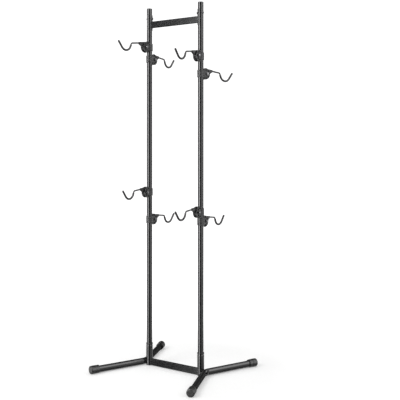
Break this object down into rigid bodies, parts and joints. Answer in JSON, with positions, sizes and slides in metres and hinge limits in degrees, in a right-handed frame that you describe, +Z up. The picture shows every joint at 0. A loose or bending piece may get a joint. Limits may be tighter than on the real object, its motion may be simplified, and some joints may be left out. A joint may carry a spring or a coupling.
{
  "type": "freestanding bike rack",
  "caption": "Freestanding two-post bike rack with splayed feet, two crossbars and hooks that slide and tilt to hang bikes on both sides.",
  "frame": {"origin": "on the floor, at the middle of the base between the two posts", "axes": "+Z up the posts; X along the crossbars, the right post on +X; the front hooks point to -Y and the back hooks to +Y"},
  "size_m": [0.7322, 0.6824, 2.1],
  "materials": {
    "post_paint": "semi-gloss black powder coat",
    "base_paint": "semi-gloss black powder coat",
    "bar_paint": "satin charcoal powder coat",
    "arm_paint": "satin black powder coat",
    "black_plastic": "matte moulded nylon, black",
    "black_rubber": "black rubber, slight sheen",
    "bright_steel": "zinc-plated steel",
    "plain_steel": "plain steel",
    "black_steel": "black oxide"
  },
  "bodies": {
    "frame": {"leg_tube_left": "base_paint", "leg_tube_right": "base_paint", "post_socket_left": "base_paint", "post_socket_right": "base_paint", "foot_cap_front_left": "black_rubber", "foot_cap_back_left": "black_rubber", "foot_cap_front_right": "black_rubber", "foot_cap_back_right": "black_rubber", "lower_crossbar": "bar_paint", "crossbar_inserts": "plain_steel", "base_bolts": "black_steel", "lower_post_left": "post_paint", "lower_post_right": "post_paint", "upper_post_left": "post_paint", "upper_post_right": "post_paint", "upper_crossbar": "bar_paint", "crossbar_bolts": "black_steel", "crossbar_cap_nuts": "black_steel", "post_plug_left": "black_plastic", "post_plug_right": "black_plastic"},
    "bracket_upper_front_left": {"bracket_upper_front_left": "black_plastic", "hub_bolt_upper_front_left": "bright_steel"},
    "arm_upper_front_left": {"arm_upper_front_left": "arm_paint", "cradle_upper_front_left": "black_rubber"},
    "bracket_upper_back_left": {"bracket_upper_back_left": "black_plastic", "hub_bolt_upper_back_left": "bright_steel"},
    "arm_upper_back_left": {"arm_upper_back_left": "arm_paint", "cradle_upper_back_left": "black_rubber"},
    "bracket_upper_front_right": {"bracket_upper_front_right": "black_plastic", "hub_bolt_upper_front_right": "bright_steel"},
    "arm_upper_front_right": {"arm_upper_front_right": "arm_paint", "cradle_upper_front_right": "black_rubber"},
    "bracket_upper_back_right": {"bracket_upper_back_right": "black_plastic", "hub_bolt_upper_back_right": "bright_steel"},
    "arm_upper_back_right": {"arm_upper_back_right": "arm_paint", "cradle_upper_back_right": "black_rubber"},
    "bracket_lower_front_left": {"bracket_lower_front_left": "black_plastic", "hub_bolt_lower_front_left": "bright_steel"},
    "arm_lower_front_left": {"arm_lower_front_left": "arm_paint", "cradle_lower_front_left": "black_rubber"},
    "bracket_lower_back_left": {"bracket_lower_back_left": "black_plastic", "hub_bolt_lower_back_left": "bright_steel"},
    "arm_lower_back_left": {"arm_lower_back_left": "arm_paint", "cradle_lower_back_left": "black_rubber"},
    "bracket_lower_front_right": {"bracket_lower_front_right": "black_plastic", "hub_bolt_lower_front_right": "bright_steel"},
    "arm_lower_front_right": {"arm_lower_front_right": "arm_paint", "cradle_lower_front_right": "black_rubber"},
    "bracket_lower_back_right": {"bracket_lower_back_right": "black_plastic", "hub_bolt_lower_back_right": "bright_steel"},
    "arm_lower_back_right": {"arm_lower_back_right": "arm_paint", "cradle_lower_back_right": "black_rubber"}
  },
  "joints": [
    {"name": "slide_upper_front_left", "type": "slide", "parent": "frame", "child": "bracket_upper_front_left", "axis": [0, 0, 1], "range_m": [-0.01, 0.064]},
    {"name": "tilt_upper_front_left", "type": "hinge", "parent": "bracket_upper_front_left", "child": "arm_upper_front_left", "pos_m": [-0.18829, -0.03763, 1.871], "axis": [-0.9903, 0.1392, 0], "range_deg": [-20, 20]},
    {"name": "slide_upper_back_left", "type": "slide", "parent": "frame", "child": "bracket_upper_back_left", "axis": [0, 0, 1], "range_m": [-0.36, 0]},
    {"name": "tilt_upper_back_left", "type": "hinge", "parent": "bracket_upper_back_left", "child": "arm_upper_back_left", "pos_m": [-0.183, 0.038, 1.802], "axis": [1, 0, 0], "range_deg": [-20, 20]},
    {"name": "slide_upper_front_right", "type": "slide", "parent": "frame", "child": "bracket_upper_front_right", "axis": [0, 0, 1], "range_m": [-0.01, 0.13]},
    {"name": "tilt_upper_front_right", "type": "hinge", "parent": "bracket_upper_front_right", "child": "arm_upper_front_right", "pos_m": [0.183, -0.038, 1.795], "axis": [-1, 0, 0], "range_deg": [-20, 20]},
    {"name": "slide_upper_back_right", "type": "slide", "parent": "frame", "child": "bracket_upper_back_right", "axis": [0, 0, 1], "range_m": [-0.32, 0.03]},
    {"name": "tilt_upper_back_right", "type": "hinge", "parent": "bracket_upper_back_right", "child": "arm_upper_back_right", "pos_m": [0.19284, 0.03671, 1.697], "axis": [0.9659, -0.2588, 0], "range_deg": [-20, 20]},
    {"name": "slide_lower_front_left", "type": "slide", "parent": "frame", "child": "bracket_lower_front_left", "axis": [0, 0, 1], "range_m": [-0.04, 0.35]},
    {"name": "tilt_lower_front_left", "type": "hinge", "parent": "bracket_lower_front_left", "child": "arm_lower_front_left", "pos_m": [-0.183, -0.038, 1.02], "axis": [-1, 0, 0], "range_deg": [-20, 20]},
    {"name": "slide_lower_back_left", "type": "slide", "parent": "frame", "child": "bracket_lower_back_left", "axis": [0, 0, 1], "range_m": [-0.69, 0.05]},
    {"name": "tilt_lower_back_left", "type": "hinge", "parent": "bracket_lower_back_left", "child": "arm_lower_back_left", "pos_m": [-0.183, 0.038, 0.858], "axis": [1, 0, 0], "range_deg": [-20, 20]},
    {"name": "slide_lower_front_right", "type": "slide", "parent": "frame", "child": "bracket_lower_front_right", "axis": [0, 0, 1], "range_m": [0, 0.4]},
    {"name": "tilt_lower_front_right", "type": "hinge", "parent": "bracket_lower_front_right", "child": "arm_lower_front_right", "pos_m": [0.183, -0.038, 0.92], "axis": [-1, 0, 0], "range_deg": [-20, 20]},
    {"name": "slide_lower_back_right", "type": "slide", "parent": "frame", "child": "bracket_lower_back_right", "axis": [0, 0, 1], "range_m": [-0.69, 0]},
    {"name": "tilt_lower_back_right", "type": "hinge", "parent": "bracket_lower_back_right", "child": "arm_lower_back_right", "pos_m": [0.183, 0.038, 0.866], "axis": [1, 0, 0], "range_deg": [-20, 20]}
  ]
}
